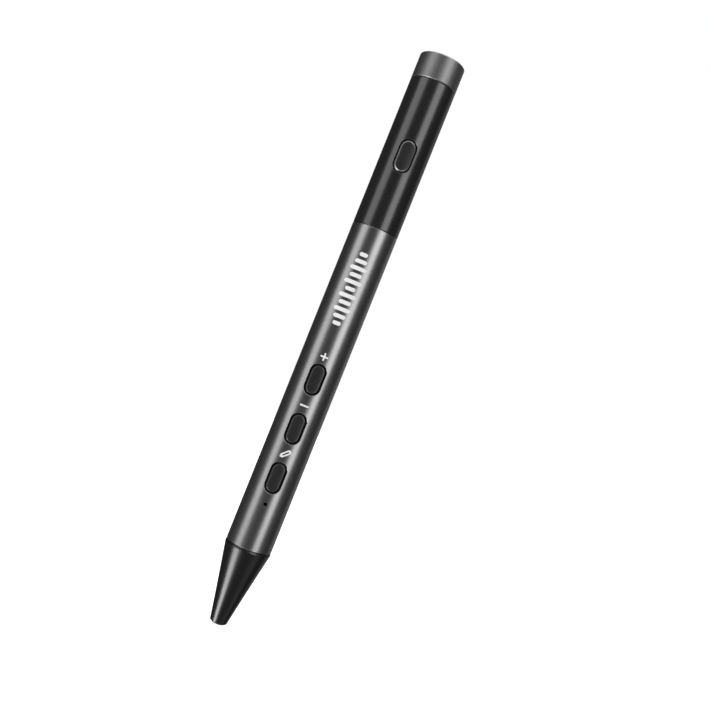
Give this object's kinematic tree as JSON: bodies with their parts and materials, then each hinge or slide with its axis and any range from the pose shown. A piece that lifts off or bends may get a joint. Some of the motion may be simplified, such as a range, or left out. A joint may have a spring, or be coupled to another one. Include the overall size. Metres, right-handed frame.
{
  "type": "smart stylus pen",
  "caption": "Slim electronic stylus and presenter pen with press keys along one side, a pull-off end cap over a charging port, and a tapered nose with a pressure-switched nib.",
  "frame": {"origin": "the nib's lowest point, on the pen's axis", "axes": "+Z along the pen from nib to end cap, -Y towards the keys, +X to the right when looking at the keys"},
  "size_m": [0.0132, 0.0132, 0.1656],
  "materials": {
    "front_barrel": "satin dark grey anodised",
    "rear_barrel": "satin black, smooth",
    "end_cap": "satin grey anodised",
    "nose_cone": "glossy black",
    "nib": "matte black",
    "keys": "matte black, faint sheen",
    "top_key": "matte black with a polished rim",
    "dark_inner_plastic": "moulded",
    "pale_inner_plastic": "moulded",
    "inner_metal": "turned",
    "steel": "bright",
    "contacts": "gold plated",
    "board": "solder mask",
    "chips": "moulded",
    "antenna": "ceramic",
    "battery": "drawn can",
    "rubber": "matte",
    "ribbon": "polyimide film",
    "print": "pale printed ink"
  },
  "bodies": {
    "pen_body": {"antenna": "antenna", "barrel_joiner": "inner_metal", "battery_cell": "battery", "battery_foam": "rubber", "battery_tabs": "steel", "cap_o_ring": "rubber", "charge_chip": "chips", "controller_chip": "chips", "crystal_can": "steel", "flex_ribbon": "ribbon", "front_barrel": "front_barrel", "front_board": "board", "front_board_screws": "steel", "front_chassis": "dark_inner_plastic", "front_flex_socket": "dark_inner_plastic", "front_passives": "chips", "mic_boot": "rubber", "microphone": "steel", "minus_switch": "dark_inner_plastic", "motion_sensor": "chips", "nib_spring": "steel", "nose_cone": "nose_cone", "nose_insert": "inner_metal", "pen_switch": "dark_inner_plastic", "plus_switch": "dark_inner_plastic", "radio_chip": "chips", "rear_barrel": "rear_barrel", "rear_board": "board", "rear_board_screws": "steel", "rear_chassis": "dark_inner_plastic", "rear_flex_socket": "dark_inner_plastic", "rear_passives": "chips", "tip_switch": "dark_inner_plastic", "top_switch": "dark_inner_plastic", "usb_contacts": "contacts", "usb_shell": "steel", "usb_tongue": "dark_inner_plastic"},
    "cap": {"end_cap": "end_cap"},
    "pen_key": {"pen_button": "keys", "pen_switch_stem": "pale_inner_plastic"},
    "minus_key": {"minus_button": "keys", "minus_switch_stem": "pale_inner_plastic"},
    "plus_key": {"plus_button": "keys", "plus_switch_stem": "pale_inner_plastic"},
    "top_key": {"top_button": "top_key", "top_switch_stem": "pale_inner_plastic"},
    "nib_group": {"nib": "nib", "nib_holder": "nib", "tip_switch_stem": "pale_inner_plastic"}
  },
  "joints": [
    {"name": "cap_pull", "type": "slide", "parent": "pen_body", "child": "cap", "axis": [0, 0, 1], "range_m": [0, 0.02]},
    {"name": "pen_press", "type": "slide", "parent": "pen_body", "child": "pen_key", "axis": [0, 1, 0], "range_m": [0, 0.0003], "stiffness_N_per_m": 3000},
    {"name": "minus_press", "type": "slide", "parent": "pen_body", "child": "minus_key", "axis": [0, 1, 0], "range_m": [0, 0.0003], "stiffness_N_per_m": 3000},
    {"name": "plus_press", "type": "slide", "parent": "pen_body", "child": "plus_key", "axis": [0, 1, 0], "range_m": [0, 0.0003], "stiffness_N_per_m": 3000},
    {"name": "top_press", "type": "slide", "parent": "pen_body", "child": "top_key", "axis": [0, 1, 0], "range_m": [0, 0.0003], "stiffness_N_per_m": 3000},
    {"name": "nib_press", "type": "slide", "parent": "pen_body", "child": "nib_group", "axis": [0, 0, 1], "range_m": [0, 0.00035], "stiffness_N_per_m": 2000, "deforming": ["nib_spring"]}
  ]
}
